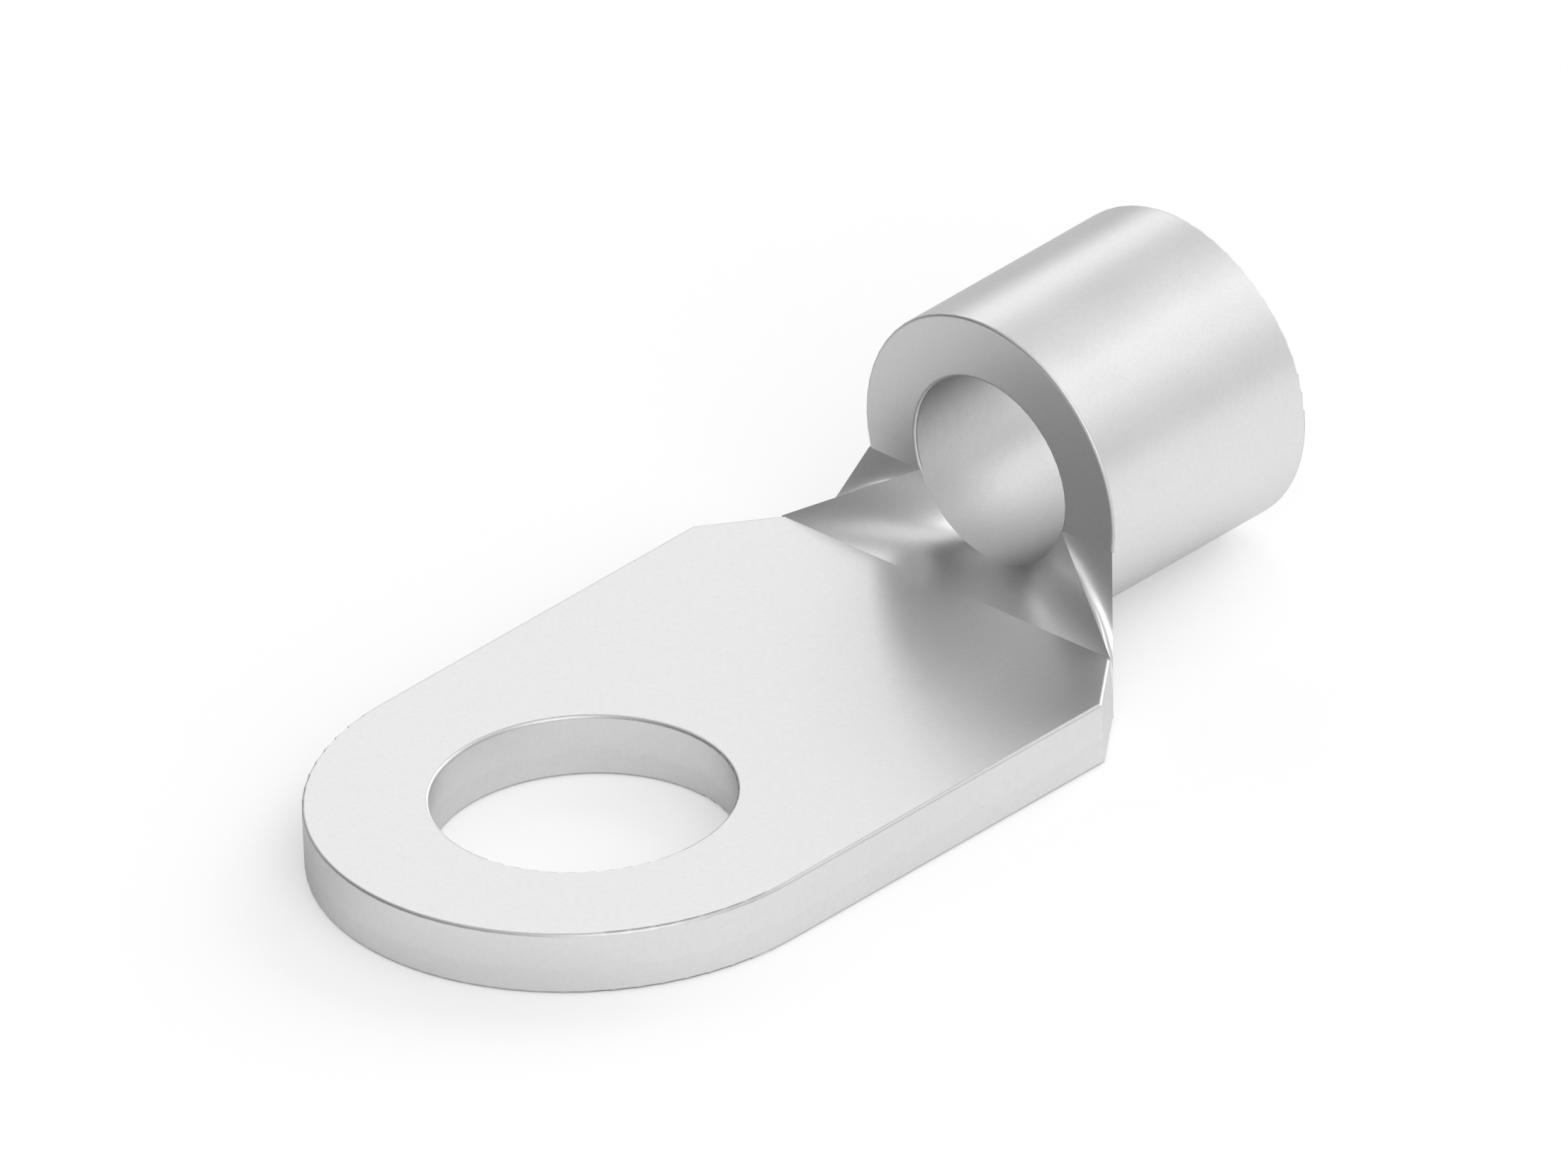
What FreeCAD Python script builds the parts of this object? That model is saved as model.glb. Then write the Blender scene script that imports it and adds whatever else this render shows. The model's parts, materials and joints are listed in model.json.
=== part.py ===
import FreeCAD, Part
import math
import os

import Sketcher

# Ring terminal, stamped and rolled from one piece of tin-plated copper sheet.
# The origin is on the axis of the stud hole, at the flat underside.
# +X is across the tongue, +Y runs from the stud hole to the wire barrel, +Z is up.
# All sizes are in millimetres.

node_name = "ring_terminal"

# Driving dimensions. Lengths along Y follow one another, from the stud hole to the wire entry.
driving_sizes = {
    "stock_thickness": 1.14,  # sheet: the flat tongue, and the wall of the rolled barrel
    "stud_hole_diameter": 5.16,
    "ring_width": 9.42,  # across the flat sides, and over the round end
    "straight_length": 7.64,  # stud hole axis to the end of the flat sides
    "shoulder_length": 1.18,  # from there to the crease where the neck starts
    "shoulder_step": 0.93,  # how far each side comes in over the shoulder
    "neck_length": 1.16,  # crease to the front face of the barrel
    "neck_drop": 0.55,  # barrel axis down to the upper edges of the neck
    "barrel_length": 4.7,
    "bore_diameter": 3.42,  # wire entry
    "edge_rounding": 0.06,  # on the tongue's outline, the hole's rims and the barrel's rims
}

doc = FreeCAD.newDocument("RingTerminal")
sheet = doc.addObject("Spreadsheet::Sheet", "Sizes")
for row, (alias, size) in enumerate(driving_sizes.items(), start=1):
    sheet.set(f"A{row}", alias)
    sheet.set(f"B{row}", str(size))
    sheet.setAlias(f"B{row}", alias)
doc.recompute()

body = doc.addObject("PartDesign::Body", "RingTerminal")
body.Label = node_name

# What several features share, as expressions on the sheet.
ring_radius = "Sizes.ring_width / 2"
neck_half_width = "Sizes.ring_width / 2 - Sizes.shoulder_step"
crease_place = "Sizes.straight_length + Sizes.shoulder_length"
barrel_front = f"{crease_place} + Sizes.neck_length"
barrel_rear = f"{barrel_front} + Sizes.barrel_length"
bore_radius = "Sizes.bore_diameter / 2"
barrel_radius = f"{bore_radius} + Sizes.stock_thickness"

# The same sizes as numbers: where the sketches start before they are solved.
thickness = sheet.stock_thickness
hole_across = sheet.stud_hole_diameter
ring_r = sheet.ring_width / 2
neck_x = ring_r - sheet.shoulder_step
straight_y = sheet.straight_length
crease_y = straight_y + sheet.shoulder_length
front_y = crease_y + sheet.neck_length
rear_y = front_y + sheet.barrel_length
bore_r = sheet.bore_diameter / 2
barrel_r = bore_r + thickness
rounding = sheet.edge_rounding

# How a sketch numbers the points of an edge and its own two axes, the first of which starts at its origin.
start, end, centre = range(1, 4)
horizontal_axis, vertical_axis = range(-1, -3, -1)
origin = (horizontal_axis, start)
upright = FreeCAD.Vector(0, 0, 1)


def point(across, up):
    return FreeCAD.Vector(across, up, 0)


def line(first, second):
    return Part.LineSegment(point(*first), point(*second))


def arc(middle, radius, first_degrees, last_degrees):
    circle = Part.Circle(point(*middle), upright, radius)
    return Part.ArcOfCircle(circle, math.radians(first_degrees), math.radians(last_degrees))


def origin_plane(role):
    return next(item for item in body.Origin.OriginFeatures if item.Role == role)


def new_sketch(name, plane_role, forward=None):
    """Start a sketch on one of the body's own planes, or moved forward from it along +Y."""
    sketch = body.newObject("Sketcher::SketchObject", name)
    sketch.AttachmentSupport = [(origin_plane(plane_role), "")]
    sketch.MapMode = "FlatFace"
    if forward:
        # The XZ plane faces -Y, so a place along +Y is a negative offset.
        sketch.setExpression("AttachmentOffset.Base.z", f"-({forward})")
    return sketch


def fix(sketch, kind, *where):
    sketch.addConstraint(Sketcher.Constraint(kind, *where))


def size(sketch, name, expression, number, kind, *where):
    """Add a dimension, give it a name and bind it to the sheet."""
    index = sketch.addConstraint(Sketcher.Constraint(kind, *where, number))
    sketch.renameConstraint(index, name)
    sketch.setExpression(f"Constraints.{name}", expression)


def chain(sketch, kind, edges):
    """Join each edge's end to the next edge's start, all the way round."""
    for this, following in zip(edges, edges[1:] + edges[:1]):
        fix(sketch, kind, this, end, following, start)


def add_tongue():
    """Flat tongue: a round end about the stud hole, straight sides, and shoulders in to the neck."""
    sketch = new_sketch("TongueOutline", "XY_Plane")
    round_end = sketch.addGeometry(arc((0, 0), ring_r, 180, 360))
    right_side = sketch.addGeometry(line((ring_r, 0), (ring_r, straight_y)))
    right_shoulder = sketch.addGeometry(line((ring_r, straight_y), (neck_x, crease_y)))
    crease = sketch.addGeometry(line((neck_x, crease_y), (-neck_x, crease_y)))
    left_shoulder = sketch.addGeometry(line((-neck_x, crease_y), (-ring_r, straight_y)))
    left_side = sketch.addGeometry(line((-ring_r, straight_y), (-ring_r, 0)))

    fix(sketch, "Coincident", round_end, centre, *origin)
    fix(sketch, "Tangent", round_end, end, right_side, start)
    fix(sketch, "Tangent", left_side, end, round_end, start)
    fix(sketch, "Vertical", right_side)
    fix(sketch, "Vertical", left_side)
    fix(sketch, "Coincident", right_side, end, right_shoulder, start)
    fix(sketch, "Coincident", right_shoulder, end, crease, start)
    fix(sketch, "Coincident", crease, end, left_shoulder, start)
    fix(sketch, "Coincident", left_shoulder, end, left_side, start)
    fix(sketch, "Horizontal", right_side, end, left_side, start)
    fix(sketch, "Symmetric", crease, start, crease, end, vertical_axis)
    size(sketch, "ring_radius", ring_radius, ring_r, "Radius", round_end)
    size(sketch, "straight", "Sizes.straight_length", straight_y, "DistanceY", *origin, right_side, end)
    size(sketch, "crease_place", crease_place, crease_y, "DistanceY", *origin, crease, start)
    size(sketch, "neck_half_width", neck_half_width, neck_x, "DistanceX", *origin, crease, start)

    tongue = body.newObject("PartDesign::Pad", "Tongue")
    tongue.Profile = sketch
    tongue.setExpression("Length", "Sizes.stock_thickness")
    return tongue


def add_stud_hole():
    """Round hole for the stud, punched right through the tongue."""
    sketch = new_sketch("StudHoleOutline", "XY_Plane")
    rim = sketch.addGeometry(Part.Circle(point(0, 0), upright, hole_across / 2))
    fix(sketch, "Coincident", rim, centre, *origin)
    size(sketch, "stud_hole_diameter", "Sizes.stud_hole_diameter", hole_across, "Diameter", rim)

    hole = body.newObject("PartDesign::Pocket", "StudHole")
    hole.Profile = sketch
    hole.Type = "ThroughAll"
    hole.Reversed = True
    return hole


def add_rounded_edges(blank):
    """Round the rims of the outline and the hole, and the two upright corners of the shoulders.

    The crease stays sharp, because the sheet runs on there into the neck.
    """
    names = []
    for number, edge in enumerate(blank.Shape.Edges, start=1):
        box = edge.BoundBox
        lies_flat = box.ZLength < rounding
        at_crease = box.YMin > crease_y - rounding
        at_shoulder = abs(box.YMin - straight_y) < rounding
        rim = lies_flat and not at_crease
        corner = at_shoulder and not lies_flat
        if rim or corner:
            names.append(f"Edge{number}")
    rounded = body.newObject("PartDesign::Fillet", "RoundedEdges")
    rounded.Base = (blank, names)
    rounded.setExpression("Radius", "Sizes.edge_rounding")
    return rounded


def half_of_flat_section():
    """Right half of the sheet's section where it leaves the tongue: neck width by thickness."""
    sketch = new_sketch("NeckStart", "XZ_Plane", forward=crease_place)
    bottom = sketch.addGeometry(line((0, 0), (neck_x, 0)))
    side = sketch.addGeometry(line((neck_x, 0), (neck_x, thickness)))
    top = sketch.addGeometry(line((neck_x, thickness), (0, thickness)))
    middle = sketch.addGeometry(line((0, thickness), (0, 0)))

    chain(sketch, "Coincident", [bottom, side, top, middle])
    fix(sketch, "Coincident", bottom, start, *origin)
    fix(sketch, "PointOnObject", top, end, vertical_axis)
    fix(sketch, "Horizontal", bottom)
    fix(sketch, "Horizontal", top)
    fix(sketch, "Vertical", side)
    size(sketch, "neck_half_width", neck_half_width, neck_x, "DistanceX", *origin, side, start)
    size(sketch, "thickness", "Sizes.stock_thickness", thickness, "DistanceY", side, start, side, end)
    return sketch


def half_of_trough_section():
    """Right half of the section where the sheet joins the barrel: the lower part of its ring."""
    sketch = new_sketch("NeckEnd", "XZ_Plane", forward=barrel_front)
    drop = sheet.neck_drop
    outer_tilt = math.degrees(math.asin(drop / barrel_r))
    inner_tilt = math.degrees(math.asin(drop / bore_r))
    outer_edge = (math.sqrt(barrel_r ** 2 - drop ** 2), barrel_r - drop)
    inner_edge = (math.sqrt(bore_r ** 2 - drop ** 2), barrel_r - drop)
    outside = sketch.addGeometry(arc((0, barrel_r), barrel_r, 270, 360 - outer_tilt))
    edge = sketch.addGeometry(line(outer_edge, inner_edge))
    inside = sketch.addGeometry(arc((0, barrel_r), bore_r, 270, 360 - inner_tilt))
    middle = sketch.addGeometry(line((0, thickness), (0, 0)))

    fix(sketch, "Coincident", outside, centre, inside, centre)
    for where in ((outside, centre), (outside, start), (inside, start)):
        fix(sketch, "PointOnObject", *where, vertical_axis)
    fix(sketch, "Coincident", outside, end, edge, start)
    fix(sketch, "Coincident", edge, end, inside, end)
    fix(sketch, "Coincident", inside, start, middle, start)
    fix(sketch, "Coincident", middle, end, outside, start)
    fix(sketch, "Horizontal", edge)
    size(sketch, "barrel_radius", barrel_radius, barrel_r, "Radius", outside)
    size(sketch, "bore_radius", bore_radius, bore_r, "Radius", inside)
    size(sketch, "axis_height", barrel_radius, barrel_r, "DistanceY", *origin, outside, centre)
    size(sketch, "neck_drop", "Sizes.neck_drop", drop, "DistanceY", outside, end, outside, centre)
    return sketch


def add_neck():
    """Neck between the flat tongue and the round barrel, drawn as its right half and mirrored.

    Straight lines join the flat section to the trough, edge to matching edge, so every face is
    ruled: the channel floor leaves the tongue level and rises at the sides, and the side faces
    twist from upright at the crease to level at the barrel. The trough then runs on into the
    barrel's wall, so that it meets the barrel's face with a square end, not a rounded one.
    """
    flat = half_of_flat_section()
    trough = half_of_trough_section()
    doc.recompute()
    neck = body.newObject("PartDesign::AdditiveLoft", "NeckHalf")
    neck.Profile = flat
    neck.Sections = [trough]
    neck.Ruled = True
    doc.recompute()
    root = body.newObject("PartDesign::Pad", "NeckRootHalf")
    root.Profile = trough
    root.Reversed = True
    root.setExpression("Length", "Sizes.stock_thickness")
    doc.recompute()
    both = body.newObject("PartDesign::Mirrored", "Neck")
    both.Originals = [neck, root]
    both.MirrorPlane = (origin_plane("YZ_Plane"), [""])
    body.Tip = both
    return both


def add_barrel():
    """Wire barrel: the wall's section with rounded corners, turned about the barrel's axis."""
    sketch = new_sketch("BarrelWall", "YZ_Plane")
    low, high = barrel_r + bore_r, barrel_r + barrel_r
    near, far = front_y + rounding, rear_y - rounding
    above, below = low + rounding, high - rounding
    inner = sketch.addGeometry(line((near, low), (far, low)))
    rear_inner = sketch.addGeometry(arc((far, above), rounding, 270, 360))
    rear = sketch.addGeometry(line((rear_y, above), (rear_y, below)))
    rear_outer = sketch.addGeometry(arc((far, below), rounding, 0, 90))
    outer = sketch.addGeometry(line((far, high), (near, high)))
    front_outer = sketch.addGeometry(arc((near, below), rounding, 90, 180))
    front = sketch.addGeometry(line((front_y, below), (front_y, above)))
    front_inner = sketch.addGeometry(arc((near, above), rounding, 180, 270))
    axis = sketch.addGeometry(line((front_y, barrel_r), (rear_y, barrel_r)), True)

    loop = [inner, rear_inner, rear, rear_outer, outer, front_outer, front, front_inner]
    chain(sketch, "Tangent", loop)
    for across in (inner, outer, axis):
        fix(sketch, "Horizontal", across)
    for end_face in (rear, front):
        fix(sketch, "Vertical", end_face)
    for corner in (rear_inner, front_outer, front_inner):
        fix(sketch, "Equal", rear_outer, corner)
    fix(sketch, "PointOnObject", axis, start, front)
    fix(sketch, "PointOnObject", axis, end, rear)
    size(sketch, "rounding", "Sizes.edge_rounding", rounding, "Radius", rear_outer)
    size(sketch, "axis_height", barrel_radius, barrel_r, "DistanceY", *origin, axis, start)
    size(sketch, "bore_radius", bore_radius, bore_r, "DistanceY", axis, start, inner, start)
    size(sketch, "barrel_radius", barrel_radius, barrel_r, "DistanceY", axis, start, outer, start)
    size(sketch, "front", barrel_front, front_y, "DistanceX", *origin, front, start)
    size(sketch, "rear", barrel_rear, rear_y, "DistanceX", *origin, rear, start)

    barrel = body.newObject("PartDesign::Revolution", "Barrel")
    barrel.Profile = sketch
    barrel.ReferenceAxis = (sketch, ["Axis0"])
    barrel.Angle = 360
    return barrel


def check(items):
    """Stop if any object of the document failed, or if the solid isn't whole."""
    failed = [item.Name for item in items if {"Invalid", "Error"} & set(item.State)]
    if failed:
        raise RuntimeError(f"failed: {', '.join(failed)}")
    loose = [item.Name for item in items if item.isDerivedFrom("Sketcher::SketchObject")
             and not item.FullyConstrained]
    if loose:
        raise RuntimeError(f"not fully constrained: {', '.join(loose)}")
    shape = body.Shape
    if shape.isNull() or not shape.isValid() or len(shape.Solids) != 1:
        raise RuntimeError("the body isn't one valid solid")


tongue = add_tongue()
doc.recompute()
hole = add_stud_hole()
doc.recompute()
punched = tongue.Shape.Volume - hole.Shape.Volume
slug = math.pi / 4 * hole_across ** 2 * thickness
if not math.isclose(punched, slug, rel_tol=1e-6):
    raise RuntimeError("the stud hole didn't go right through")
add_rounded_edges(hole)
doc.recompute()
add_neck()
doc.recompute()
add_barrel()
doc.recompute()
check(doc.Objects)

os.makedirs("parts", exist_ok=True)
body.Shape.exportStep(f"parts/{node_name}.step")
box = body.Shape.optimalBoundingBox(False)
print(f"{node_name}: {box.XLength:.2f} x {box.YLength:.2f} x {box.ZLength:.2f} mm, "
      f"{body.Shape.Volume:.2f} cubic mm, {len(body.Shape.Faces)} faces")
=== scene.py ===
import json
import math

import bpy
from mathutils import Matrix, Vector


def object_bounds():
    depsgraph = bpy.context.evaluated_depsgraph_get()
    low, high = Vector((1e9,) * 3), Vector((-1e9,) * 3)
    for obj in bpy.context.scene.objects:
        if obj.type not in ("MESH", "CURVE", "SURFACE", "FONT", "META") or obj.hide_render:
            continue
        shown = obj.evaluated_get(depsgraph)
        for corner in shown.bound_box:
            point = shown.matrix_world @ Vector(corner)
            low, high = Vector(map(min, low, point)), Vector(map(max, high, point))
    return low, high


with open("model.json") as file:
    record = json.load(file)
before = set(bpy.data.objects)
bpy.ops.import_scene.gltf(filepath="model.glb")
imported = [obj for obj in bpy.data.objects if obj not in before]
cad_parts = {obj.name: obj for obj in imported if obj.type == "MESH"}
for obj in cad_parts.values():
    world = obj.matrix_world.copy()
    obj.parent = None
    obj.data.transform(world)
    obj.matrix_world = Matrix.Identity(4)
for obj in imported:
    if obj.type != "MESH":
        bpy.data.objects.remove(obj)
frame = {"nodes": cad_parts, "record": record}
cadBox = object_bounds()
terminal = frame["nodes"]["ring_terminal"]
mounts = {mount["name"]: mount for mount in frame["record"]["mounts"]}
scene = bpy.context.scene
mm = 0.001
print("frame loaded")


# helpers for the node trees

def connect(tree, value, socket):
    if isinstance(value, bpy.types.NodeSocket):
        tree.links.new(value, socket)
    else:
        socket.default_value = value


def addNode(tree, kind, inputs=None, **settings):
    # inputs go by name or number, as a plain value or as another node's output
    node = tree.nodes.new("ShaderNode" + kind)
    for name, value in settings.items():
        setattr(node, name, value)
    for name, value in (inputs or {}).items():
        connect(tree, value, node.inputs[name])
    return node


def maths(tree, operation, *values):
    return addNode(tree, "Math", dict(enumerate(values)), operation=operation).outputs[0]


def plus(tree, first, second):
    return maths(tree, "ADD", first, second)


def minus(tree, first, second):
    return maths(tree, "SUBTRACT", first, second)


def times(tree, first, second):
    return maths(tree, "MULTIPLY", first, second)


def timesPlus(tree, value, factor, added):
    return maths(tree, "MULTIPLY_ADD", value, factor, added)


def vector(tree, operation, *values, out=0):
    # values are vectors, apart from SCALE's second one, which is a number
    names = (0, "Scale") if operation == "SCALE" else (0, 1)
    return addNode(tree, "VectorMath", dict(zip(names, values)), operation=operation).outputs[out]


def dot(tree, first, second):
    return vector(tree, "DOT_PRODUCT", first, second, out="Value")


def length(tree, value):
    return vector(tree, "LENGTH", value, out="Value")


def unit(tree, value):
    return vector(tree, "NORMALIZE", value)


def joined(tree, x, y, z):
    return addNode(tree, "CombineXYZ", {0: x, 1: y, 2: z}).outputs[0]


def parted(tree, value):
    return addNode(tree, "SeparateXYZ", {0: value}).outputs


# a Mix node has its sockets several times under one name, so they go by number

def mixNumbers(tree, factor, first, second):
    return addNode(tree, "Mix", {0: factor, 2: first, 3: second}).outputs[0]


def mixVectors(tree, factor, first, second):
    return addNode(tree, "Mix", {0: factor, 4: first, 5: second}, data_type="VECTOR").outputs[1]


def ramp(tree, value, fromLow, fromHigh, toLow=0.0, toHigh=1.0):
    # a soft step between two limits, level outside them
    numbers = {0: value, 1: fromLow, 2: fromHigh, 3: toLow, 4: toHigh}
    return addNode(tree, "MapRange", numbers, interpolation_type="SMOOTHSTEP").outputs[0]


def noise(tree, place, scale, detail=1.0):
    return addNode(tree, "TexNoise", {"Vector": place, "Scale": scale, "Detail": detail}).outputs[0]


def newGroup(name, inputs, outputs):
    # a group of nodes with its own named sockets
    group = bpy.data.node_groups.new(name, "ShaderNodeTree")
    for side, sockets in (("INPUT", inputs), ("OUTPUT", outputs)):
        for socketName, kind in sockets.items():
            group.interface.new_socket(socketName, in_out=side, socket_type="NodeSocket" + kind)
    return group, group.nodes.new("NodeGroupInput").outputs, group.nodes.new("NodeGroupOutput").inputs


def useGroup(tree, group, inputs):
    node = tree.nodes.new("ShaderNodeGroup")
    node.node_tree = group
    for name, value in inputs.items():
        connect(tree, value, node.inputs[name])
    return node.outputs


# camera, with the parallel view of the photo

camera = {
    "lookAt": Vector((0.999, 3.992, 3.668)) * mm,  # what the middle of the picture shows
    "right": Vector((0.72538, 0.68689, -0.04485)),
    "up": Vector((-0.31632, 0.39049, 0.86456)),
    "frameWidth": 26.179 * mm,
    "distance": 60 * mm,
    "nearest": 1 * mm,
    "farthest": 1000 * mm,
}


def addCamera():
    data = bpy.data.cameras.new("camera")
    data.type = "ORTHO"
    data.ortho_scale = camera["frameWidth"]
    data.clip_start = camera["nearest"]
    data.clip_end = camera["farthest"]
    holder = bpy.data.objects.new("camera", data)
    scene.collection.objects.link(holder)
    right = camera["right"].normalized()
    back = right.cross(camera["up"]).normalized()
    up = back.cross(right)
    turn = Matrix((right, up, back)).transposed().to_4x4()
    holder.matrix_world = Matrix.Translation(camera["lookAt"] + back * camera["distance"]) @ turn
    scene.camera = holder


addCamera()
print("camera set")

# studio: a grey room with one dark side, five soft boxes and a white table, which carries painted shade
# towards the room's dark side in what the metal mirrors
# directions are an azimuth from +X and an elevation, in degrees

room = {
    "grey": 0.64,
    "dark": 0.447,  # how much is missing in the middle of the dark side
    "darkTowards": (-133.9, 16.2),
    "darkTightness": 4.8,
    "seen": 1.0,  # where the camera looks past the table
}

boxDistance = 1500 * mm

# half is half the angle that the box fills each way, in degrees
softBoxes = {
    "top": {"towards": (44.7, 87.7), "half": (16, 39.3), "power": 3.08},
    "rear": {"towards": (86.5, 27.3), "half": (17, 15.3), "power": 3.09},
    "lowRear": {"towards": (87.4, 0), "half": (37.1, 39.3), "power": 23.0},
    "rearLeft": {"towards": (152.5, 33.4), "half": (17.4, 15.2), "power": 2.21},
    "right": {"towards": (-27.6, 35.3), "half": (22.4, 32), "power": 9.84},
}

table = {
    "side": 1200 * mm,
    "below": 0.01 * mm,  # under the terminal, so that the two faces don't flicker
    "seenColour": 0.6,  # to the camera, with a glow added, which softens the shadow
    "seenGlow": 0.388,
    "bounce": 0.8,  # for the light that it throws back
    "mirrored": 0.985,  # in what the metal mirrors
    # painted shade: in what the metal mirrors, the table's colour falls to this value towards the room's
    # dark side, between the start and end distances below
    "dimmed": 0.77,  # the same past dimEnd, where the room's dark side lies
    "dimTowards": (-170, 0),
    "dimStart": 2 * mm,
    "dimEnd": 4.8 * mm,
}


def towards(azimuth, elevation):
    across, up = math.radians(azimuth), math.radians(elevation)
    return Vector((math.cos(up) * math.cos(across), math.cos(up) * math.sin(across), math.sin(up)))


def addRoom():
    world = bpy.data.worlds.new("room")
    world.use_nodes = True
    scene.world = world
    tree = world.node_tree
    tree.nodes.clear()
    facing = dot(tree, addNode(tree, "TexCoord").outputs["Generated"], towards(*room["darkTowards"]))
    near = timesPlus(tree, facing, 0.5, 0.5)  # from -1 and 1 to 0 and 1
    darkness = maths(tree, "POWER", near, room["darkTightness"])
    grey = timesPlus(tree, darkness, -room["dark"], room["grey"])
    seen = addNode(tree, "LightPath").outputs
    direct = maths(tree, "MAXIMUM", seen["Is Camera Ray"], seen["Is Transmission Ray"])
    strength = mixNumbers(tree, direct, grey, room["seen"])
    light = addNode(tree, "Background", {"Color": (1, 1, 1, 1), "Strength": strength})
    addNode(tree, "OutputWorld", {"Surface": light.outputs[0]})


def addBox(name, box):
    data = bpy.data.lights.new(name, "AREA")
    data.shape = "RECTANGLE"
    data.size, data.size_y = (2 * boxDistance * math.tan(math.radians(half)) for half in box["half"])
    data.energy = box["power"]
    lamp = bpy.data.objects.new(name, data)
    scene.collection.objects.link(lamp)
    lamp.location = towards(*box["towards"]) * boxDistance
    lamp.rotation_euler = lamp.location.to_track_quat("Z", "Y").to_euler()
    lamp.visible_camera = False


def makeTableWhite():
    paint = bpy.data.materials.new("tableWhite")
    paint.use_nodes = True
    tree = paint.node_tree
    tree.nodes.clear()
    seen = addNode(tree, "LightPath").outputs
    inMetal = maths(tree, "MAXIMUM", seen["Is Glossy Ray"], seen["Is Transmission Ray"])
    # painted shade on the table, seen only in what the metal mirrors: darker towards the room's dark side
    leftward = dot(tree, addNode(tree, "TexCoord").outputs["Object"], towards(*table["dimTowards"]))
    mirrored = ramp(tree, leftward, table["dimStart"], table["dimEnd"], table["mirrored"], table["dimmed"])
    shade = mixNumbers(tree, inMetal, table["bounce"], mirrored)
    shade = mixNumbers(tree, seen["Is Camera Ray"], shade, table["seenColour"])
    lit = addNode(tree, "BsdfDiffuse", {"Color": shade})
    glow = addNode(tree, "Emission", {"Strength": times(tree, seen["Is Camera Ray"], table["seenGlow"])})
    both = addNode(tree, "AddShader", {0: lit.outputs[0], 1: glow.outputs[0]})
    addNode(tree, "OutputMaterial", {"Surface": both.outputs[0]})
    return paint


def addTable():
    bpy.ops.object.select_all(action="DESELECT")
    bpy.ops.mesh.primitive_plane_add(size=table["side"], location=(0, 0, -table["below"]))
    plane = bpy.context.active_object
    plane.name = "table"
    plane.data.materials.append(makeTableWhite())


addRoom()
for name, box in softBoxes.items():
    addBox(name, box)
addTable()
print("studio ready")

# metal: tin-plated copper, matt, with the marks of rolling, punching and plating

# sizes that the finish follows, in mm, from the frame where it has them
hole, bore = mounts["stud_hole"], mounts["wire_barrel"]
barrelMiddle, barrelHalf = bore["pos_m"][1] / mm, bore["dims"]["length_mm"] / 2
shape = {
    "sheet": hole["dims"]["length_mm"],
    "rounding": 0.06,
    "holeRadius": hole["dims"]["r_mm"],
    "endRadius": cadBox[1][0] / mm,  # of the tongue's round end, and half its width
    "sidesEnd": 7.64,  # where the shoulders start, along +Y
    "shoulderAcross": 0.93,
    "crease": 8.82,  # where the neck starts
    "neckTop": 2.30,  # height of the neck's upper edges
    "barrelFront": barrelMiddle - barrelHalf,
    "barrelRear": barrelMiddle + barrelHalf,
    "barrelRadius": bore["pos_m"][2] / mm,  # and the height of its axis
    "boreRadius": bore["dims"]["r_mm"],
}

# the neck's floor and side faces are ruled from the straight crease to the barrel's ring
neckDrop = shape["barrelRadius"] - shape["neckTop"]  # from the barrel's axis to the neck's upper edges
neck = {
    "length": shape["barrelFront"] - shape["crease"],
    "halfWidth": shape["endRadius"] - shape["shoulderAcross"],  # at the crease
    "outerX": math.sqrt(shape["barrelRadius"] ** 2 - neckDrop ** 2),  # of its upper edges at the barrel
    "innerX": math.sqrt(shape["boreRadius"] ** 2 - neckDrop ** 2),
    "halfArc": math.acos(neckDrop / shape["boreRadius"]),  # of the floor at the barrel, in radians
}

# how far a point may be off a face and still count as on it, in mm
slack = {
    "barrelFront": 0.0005,
    "neckTop": 0.01,
    "neckFace": 0.03,
    "neckFacing": 0.8,  # least cosine between the mesh's normal and the one worked out
    "shoulderBlend": 0.02,  # each side of the line between flat side and shoulder
}

tin = {
    "colour": (0.73, 0.73, 0.73),
    "roughness": 0.34,
    "edgeTint": (0.8, 0.8, 0.8),  # keeps the metal from whitening where it is seen edge on
    "grainSize": 0.028,  # mm
    "grainHeight": 0.0009,  # mm
    "grainTone": 0.14,
    "patchScale": 0.3,  # of the grain's scale, for the coarser half of its tone
    "patchShare": 0.5,
    "cloudSize": 1.7,  # mm
    "cloudTone": 0.05,
    "cloudRoughness": 0.05,
}

rolledFace = {
    "lineAcross": 0.07,  # mm
    "lineAlong": 3.5,  # mm
    "lineHeight": 0.0003,  # mm
    "lineTone": 0.012,
    "broadScale": 0.17,  # of the fine lines' scale
    "broadShare": 0.6,
    "endFacing": (0.6, 0.9),  # from rolled face to the barrel's ends, by the cosine to Y
}

punchedWall = {
    "lineSize": (0.045, 0.045, 1.6),  # mm, long upwards
    "lineHeight": 0.0008,  # mm
    "facing": (0.2, 0.5),  # from wall to rolled face, by the cosine to Z
    "tornBelow": 0.35,  # mm above the underside, where the cut tears instead of shearing
    "tornWaver": 0.25,  # mm
    "waverScale": 2.0,  # waves in a mm
    "tornFade": (-0.03, 0.05),  # mm above and below the torn edge
    "tornHeight": 0.0012,  # mm, added to the grain's
    "tornTone": -0.02,
    "tornRoughness": 0.06,
}

roundedRim = {
    "roughness": 0.08,  # duller than the faces
    "tone": -0.18,
    "fade": 0.3,  # of the rounding, over which the duller rim sets in
}


def makeGrain():
    # fine even grain of matt tin, as a height and a tone about zero
    group, given, result = newGroup(
        "mattGrain", {"Place": "Vector", "Size": "Float"}, {"Height": "Float", "Tone": "Float"})
    scale = maths(group, "DIVIDE", 1.0, given["Size"])
    fine = noise(group, given["Place"], scale)
    patches = noise(group, given["Place"], times(group, scale, tin["patchScale"]))
    share = tin["patchShare"]
    both = timesPlus(group, patches, share, times(group, fine, 1 - share))
    connect(group, fine, result["Height"])
    connect(group, minus(group, both, 0.5), result["Tone"])
    return group


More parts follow.
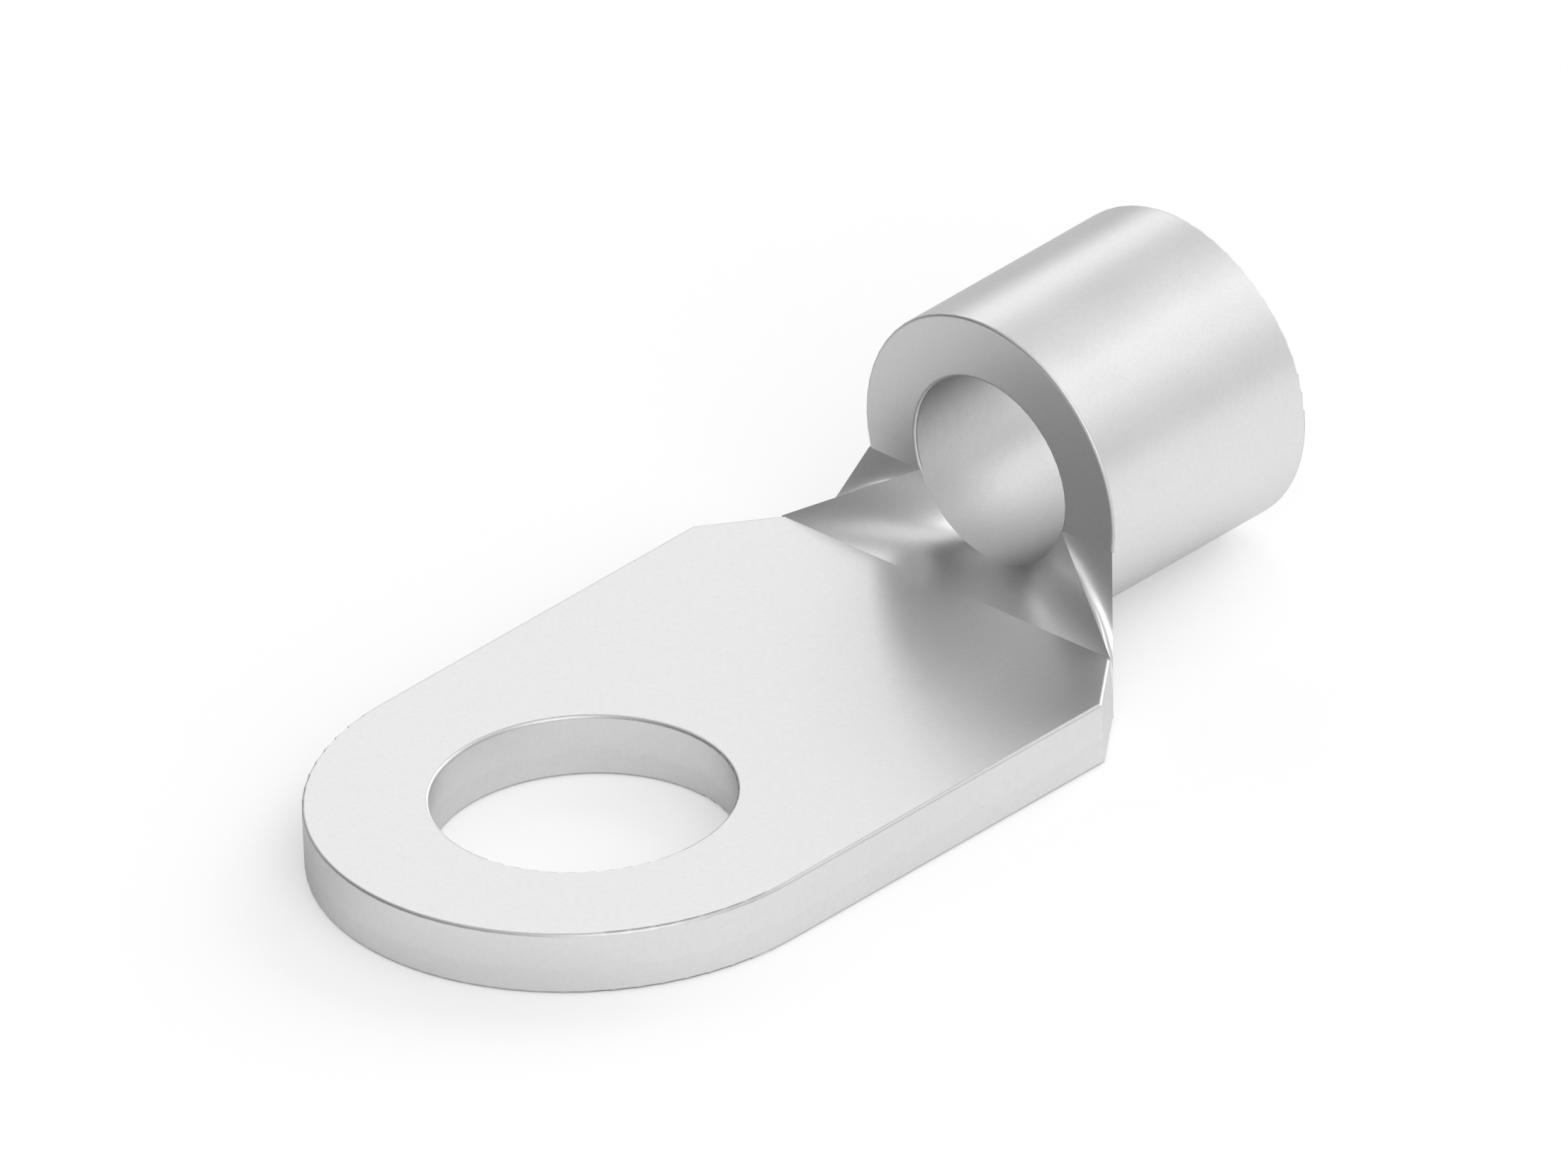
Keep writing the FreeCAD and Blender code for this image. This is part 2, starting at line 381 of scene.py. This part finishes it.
def makeClouds():
    # slow drift between brighter and duller plating
    group, given, result = newGroup("platingClouds", {"Place": "Vector", "Size": "Float"}, {"Tone": "Float"})
    drift = noise(group, given["Place"], maths(group, "DIVIDE", 1.0, given["Size"]), detail=2.0)
    connect(group, minus(group, drift, 0.5), result["Tone"])
    return group


def makeLines():
    # faint drawn-out marks: Place is already scaled, narrow across and long along
    group, given, result = newGroup("drawnLines", {"Place": "Vector"}, {"Height": "Float", "Tone": "Float"})
    fine = noise(group, given["Place"], 1.0)
    broad = noise(group, given["Place"], rolledFace["broadScale"])
    share = rolledFace["broadShare"]
    both = timesPlus(group, broad, share, times(group, fine, 1 - share))
    connect(group, fine, result["Height"])
    connect(group, minus(group, both, 0.5), result["Tone"])
    return group


def pastLimits(group, value, low, high):
    # how far a value is above its limits, and how far below them, which is negative
    above = maths(group, "MAXIMUM", minus(group, value, high), 0.0)
    below = maths(group, "MINIMUM", minus(group, value, low), 0.0)
    return above, below


def roundedOver(group, side, depth, rise, axis):
    # side is the wall's outward direction; depth and rise are past the rounding's centre line
    depth = maths(group, "MAXIMUM", depth, 0.0)
    whole = vector(group, "ADD", vector(group, "SCALE", side, depth), vector(group, "SCALE", axis, rise))
    both = maths(group, "MINIMUM", depth, maths(group, "ABSOLUTE", rise))
    return unit(group, whole), ramp(group, both, 0.0, shape["rounding"] * roundedRim["fade"])


def tongueEdges(group, x, y, z):
    rounding = shape["rounding"]

    # round end and straight sides
    toEnd = joined(group, x, maths(group, "MINIMUM", y, 0.0), 0.0)
    pastEnd = minus(group, length(group, toEnd), shape["endRadius"] - rounding)

    # shoulders
    shoulder = Vector((shape["crease"] - shape["sidesEnd"], shape["shoulderAcross"], 0.0)).normalized()
    shoulderStart = Vector((shape["endRadius"], shape["sidesEnd"], 0.0)).dot(shoulder) - rounding
    outward = timesPlus(group, maths(group, "ABSOLUTE", x), shoulder.x, times(group, y, shoulder.y))
    pastShoulder = minus(group, outward, shoulderStart)
    shoulderSide = joined(group, times(group, maths(group, "SIGN", x), shoulder.x), shoulder.y, 0.0)
    further = minus(group, pastShoulder, pastEnd)
    onShoulder = ramp(group, further, -slack["shoulderBlend"], slack["shoulderBlend"])
    side = mixVectors(group, onShoulder, unit(group, toEnd), shoulderSide)
    depth = maths(group, "MAXIMUM", pastEnd, pastShoulder)

    # stud hole
    toHole = joined(group, x, y, 0.0)
    pastHole = minus(group, shape["holeRadius"] + rounding, length(group, toHole))
    inward = vector(group, "SCALE", unit(group, toHole), -1.0)
    side = mixVectors(group, maths(group, "GREATER_THAN", pastHole, depth), side, inward)
    depth = maths(group, "MAXIMUM", depth, pastHole)

    above, below = pastLimits(group, z, rounding, shape["sheet"] - rounding)
    return roundedOver(group, side, depth, plus(group, above, below), (0.0, 0.0, 1.0))


def barrelEdges(group, x, y, z):
    # outside and bore; the front rims end where the neck starts
    rounding = shape["rounding"]
    toAxis = joined(group, x, 0.0, minus(group, z, shape["barrelRadius"]))
    outward = unit(group, toAxis)
    pastOutside = minus(group, length(group, toAxis), shape["barrelRadius"] - rounding)
    pastBore = minus(group, shape["boreRadius"] + rounding, length(group, toAxis))
    inBore = maths(group, "GREATER_THAN", pastBore, pastOutside)
    side = mixVectors(group, inBore, outward, vector(group, "SCALE", outward, -1.0))
    depth = maths(group, "MAXIMUM", pastOutside, pastBore)
    above, below = pastLimits(group, y, shape["barrelFront"] + rounding, shape["barrelRear"] - rounding)
    overNeck = maths(group, "GREATER_THAN", z, shape["neckTop"] - slack["neckTop"])
    return roundedOver(group, side, depth, timesPlus(group, below, overNeck, above), (0.0, 1.0, 0.0))


def whichPart(tree, y):
    onTongue = maths(tree, "LESS_THAN", y, shape["crease"])
    onBarrel = maths(tree, "GREATER_THAN", y, shape["barrelFront"] - slack["barrelFront"])
    return onTongue, onBarrel


def makeEdges():
    # the exact normal of the rounded rims, which are too narrow for the facets, and a mask of them
    group, given, result = newGroup(
        "roundedEdges", {"Place": "Vector", "Normal": "Vector"}, {"Normal": "Vector", "Rim": "Float"})
    x, y, z = parted(group, given["Place"])
    tongue, tongueRim = tongueEdges(group, x, y, z)
    barrel, barrelRim = barrelEdges(group, x, y, z)
    onTongue, onBarrel = whichPart(group, y)
    normal = mixVectors(group, onTongue, given["Normal"], tongue)
    normal = mixVectors(group, onBarrel, normal, barrel)
    connect(group, normal, result["Normal"])
    rim = timesPlus(group, barrelRim, onBarrel, times(group, tongueRim, onTongue))
    connect(group, rim, result["Rim"])
    return group


def neckFloor(group, x, z, sign, along, ruled):
    # share is 0 in the middle of the floor and 1 at its side
    radius, halfArc, halfWidth = shape["boreRadius"], neck["halfArc"], neck["halfWidth"]
    share = maths(group, "DIVIDE", x, ruled(halfWidth, radius * halfArc))
    for newtonStep in range(2):  # finds share from x
        angle = times(group, share, halfArc)
        reached = ruled(times(group, share, halfWidth), times(group, maths(group, "SINE", angle), radius))
        slope = ruled(halfWidth, times(group, maths(group, "COSINE", angle), radius * halfArc))
        missing = maths(group, "DIVIDE", minus(group, x, reached), slope)
        share = plus(group, share, missing)
    angle = times(group, share, halfArc)
    sine, cosine = maths(group, "SINE", angle), maths(group, "COSINE", angle)
    lift = times(group, minus(group, 1.0, cosine), radius)

    # two directions that lie in the floor: across it, and along its ruling
    acrossX = ruled(halfWidth, times(group, cosine, radius * halfArc))
    acrossZ = times(group, times(group, sine, radius * halfArc), along)
    alongX = minus(group, times(group, sine, radius), times(group, share, halfWidth))
    normalX = times(group, times(group, acrossZ, -neck["length"]), sign)
    normalY = minus(group, times(group, acrossZ, alongX), times(group, acrossX, lift))
    normalZ = times(group, acrossX, neck["length"])
    height = timesPlus(group, lift, along, shape["sheet"])
    return unit(group, joined(group, normalX, normalY, normalZ)), minus(group, z, height)


def neckSide(group, x, z, sign, along, back, ruled):
    # share is 0 at the outer edge of the side face and 1 at the floor's edge
    wallX = neck["outerX"] - neck["innerX"]
    upX = times(group, along, -wallX)
    upZ = times(group, back, shape["sheet"])
    overX = minus(group, x, ruled(neck["halfWidth"], neck["outerX"]))
    overZ = minus(group, z, times(group, along, shape["neckTop"]))
    square = plus(group, times(group, upX, upX), times(group, upZ, upZ))
    share = plus(group, times(group, overX, upX), times(group, overZ, upZ))
    share = maths(group, "DIVIDE", share, square)
    gapX = minus(group, overX, times(group, share, upX))
    gapZ = minus(group, overZ, times(group, share, upZ))

    alongX = timesPlus(group, share, -wallX, neck["outerX"] - neck["halfWidth"])
    alongZ = timesPlus(group, share, -shape["sheet"], shape["neckTop"])
    normalX = times(group, times(group, upZ, neck["length"]), sign)
    normalY = minus(group, times(group, upX, alongZ), times(group, upZ, alongX))
    normalZ = times(group, upX, -neck["length"])
    gap = length(group, joined(group, gapX, 0.0, gapZ))
    return unit(group, joined(group, normalX, normalY, normalZ)), gap


def makeNeck():
    # the exact normal of the neck's floor and side faces, which twist
    group, given, result = newGroup(
        "twistedNeck", {"Place": "Vector", "Normal": "Vector"}, {"Normal": "Vector"})
    x, y, z = parted(group, given["Place"])
    sign = maths(group, "SIGN", x)
    x = maths(group, "ABSOLUTE", x)
    along = maths(group, "DIVIDE", minus(group, y, shape["crease"]), neck["length"])
    back = minus(group, 1.0, along)
    inNeck = times(group, maths(group, "GREATER_THAN", along, 0.0), maths(group, "LESS_THAN", along, 1.0))

    def ruled(first, second):
        # from first at the crease to second at the barrel
        return plus(group, times(group, first, back), times(group, second, along))

    def suits(normal, gap):
        # where the mesh is within a hair of the ruled face and faces nearly the same way
        alike = maths(group, "GREATER_THAN", dot(group, normal, given["Normal"]), slack["neckFacing"])
        near = maths(group, "LESS_THAN", maths(group, "ABSOLUTE", gap), slack["neckFace"])
        return times(group, times(group, alike, near), inNeck)

    floor, floorGap = neckFloor(group, x, z, sign, along, ruled)
    side, sideGap = neckSide(group, x, z, sign, along, back, ruled)
    normal = mixVectors(group, suits(floor, floorGap), given["Normal"], floor)
    normal = mixVectors(group, suits(side, sideGap), normal, side)
    connect(group, normal, result["Normal"])
    return group


edgeGroup = makeEdges()
neckGroup = makeNeck()
grainGroup = makeGrain()
cloudGroup = makeClouds()
lineGroup = makeLines()


def makeTin():
    look = bpy.data.materials.new("tinnedCopper")
    look.use_nodes = True
    tree = look.node_tree
    bsdf = tree.nodes["Principled BSDF"]
    where = addNode(tree, "TexCoord").outputs
    place = addNode(tree, "Mapping", {"Vector": where["Object"], "Scale": (1 / mm,) * 3}).outputs[0]
    x, y, z = parted(tree, place)
    meshNormal = parted(tree, where["Normal"])

    # exact normals for the neck and the rims
    ruled = useGroup(tree, neckGroup, {"Place": place, "Normal": where["Normal"]})
    edges = useGroup(tree, edgeGroup, {"Place": place, "Normal": ruled["Normal"]})
    rim = edges["Rim"]

    # punched walls, the barrel's ends, and rolled faces, which are the rest
    onTongue, onBarrel = whichPart(tree, y)
    steep = ramp(tree, maths(tree, "ABSOLUTE", meshNormal["Z"]), *punchedWall["facing"], 1.0, 0.0)
    wall = times(tree, onTongue, steep)
    ending = ramp(tree, maths(tree, "ABSOLUTE", meshNormal["Y"]), *rolledFace["endFacing"])
    endFace = times(tree, onBarrel, ending)
    rolled = minus(tree, 1.0, maths(tree, "MAXIMUM", wall, endFace))

    # lines: along the strip on rolled faces, round the barrel by its angle; upright on punched walls
    overAxis = minus(tree, z, shape["barrelRadius"])
    turn = times(tree, maths(tree, "ARCTAN2", x, overAxis), shape["barrelRadius"])
    across = mixNumbers(tree, onBarrel, x, turn)
    acrossLines = maths(tree, "DIVIDE", across, rolledFace["lineAcross"])
    alongLines = maths(tree, "DIVIDE", y, rolledFace["lineAlong"])
    rolledPlace = joined(tree, acrossLines, 0.0, alongLines)
    wallPlace = vector(tree, "DIVIDE", place, punchedWall["lineSize"])
    lines = useGroup(tree, lineGroup, {"Place": mixVectors(tree, wall, rolledPlace, wallPlace)})

    # punched walls: a torn band below a wavering edge
    waver = noise(tree, place, punchedWall["waverScale"], detail=0.0)
    tornEdge = timesPlus(tree, waver, punchedWall["tornWaver"], punchedWall["tornBelow"])
    torn = times(tree, wall, ramp(tree, minus(tree, tornEdge, z), *punchedWall["tornFade"]))

    grain = useGroup(tree, grainGroup, {"Place": place, "Size": tin["grainSize"]})
    cloud = useGroup(tree, cloudGroup, {"Place": place, "Size": tin["cloudSize"]})["Tone"]

    # tone: everything as a share of the colour
    tone = timesPlus(tree, grain["Tone"], tin["grainTone"], 1.0)
    tone = timesPlus(tree, cloud, tin["cloudTone"], tone)
    tone = timesPlus(tree, times(tree, lines["Tone"], rolled), rolledFace["lineTone"], tone)
    tone = timesPlus(tree, torn, punchedWall["tornTone"], tone)
    tone = timesPlus(tree, rim, roundedRim["tone"], tone)
    connect(tree, vector(tree, "SCALE", tin["colour"], tone), bsdf.inputs["Base Color"])

    roughness = timesPlus(tree, cloud, tin["cloudRoughness"], tin["roughness"])
    roughness = timesPlus(tree, torn, punchedWall["tornRoughness"], roughness)
    roughness = timesPlus(tree, rim, roundedRim["roughness"], roughness)
    connect(tree, roughness, bsdf.inputs["Roughness"])
    bsdf.inputs["Metallic"].default_value = 1.0
    bsdf.inputs["Specular Tint"].default_value = (*tin["edgeTint"], 1.0)

    # relief, in mm
    grainHeight = timesPlus(tree, torn, punchedWall["tornHeight"], tin["grainHeight"])
    lineHeight = times(tree, rolled, rolledFace["lineHeight"])
    lineHeight = timesPlus(tree, wall, punchedWall["lineHeight"], lineHeight)
    relief = timesPlus(tree, lines["Height"], lineHeight, times(tree, grain["Height"], grainHeight))
    facing = addNode(tree, "VectorTransform", {0: edges["Normal"]},
                     vector_type="NORMAL", convert_from="OBJECT", convert_to="WORLD").outputs[0]
    bump = addNode(tree, "Bump", {"Height": relief, "Distance": mm, "Strength": 1.0, "Normal": facing})
    connect(tree, bump.outputs[0], bsdf.inputs["Normal"])
    return look


terminal.material_slots[0].material = makeTin()
print("metal made")

scene.view_settings.view_transform = "Standard"
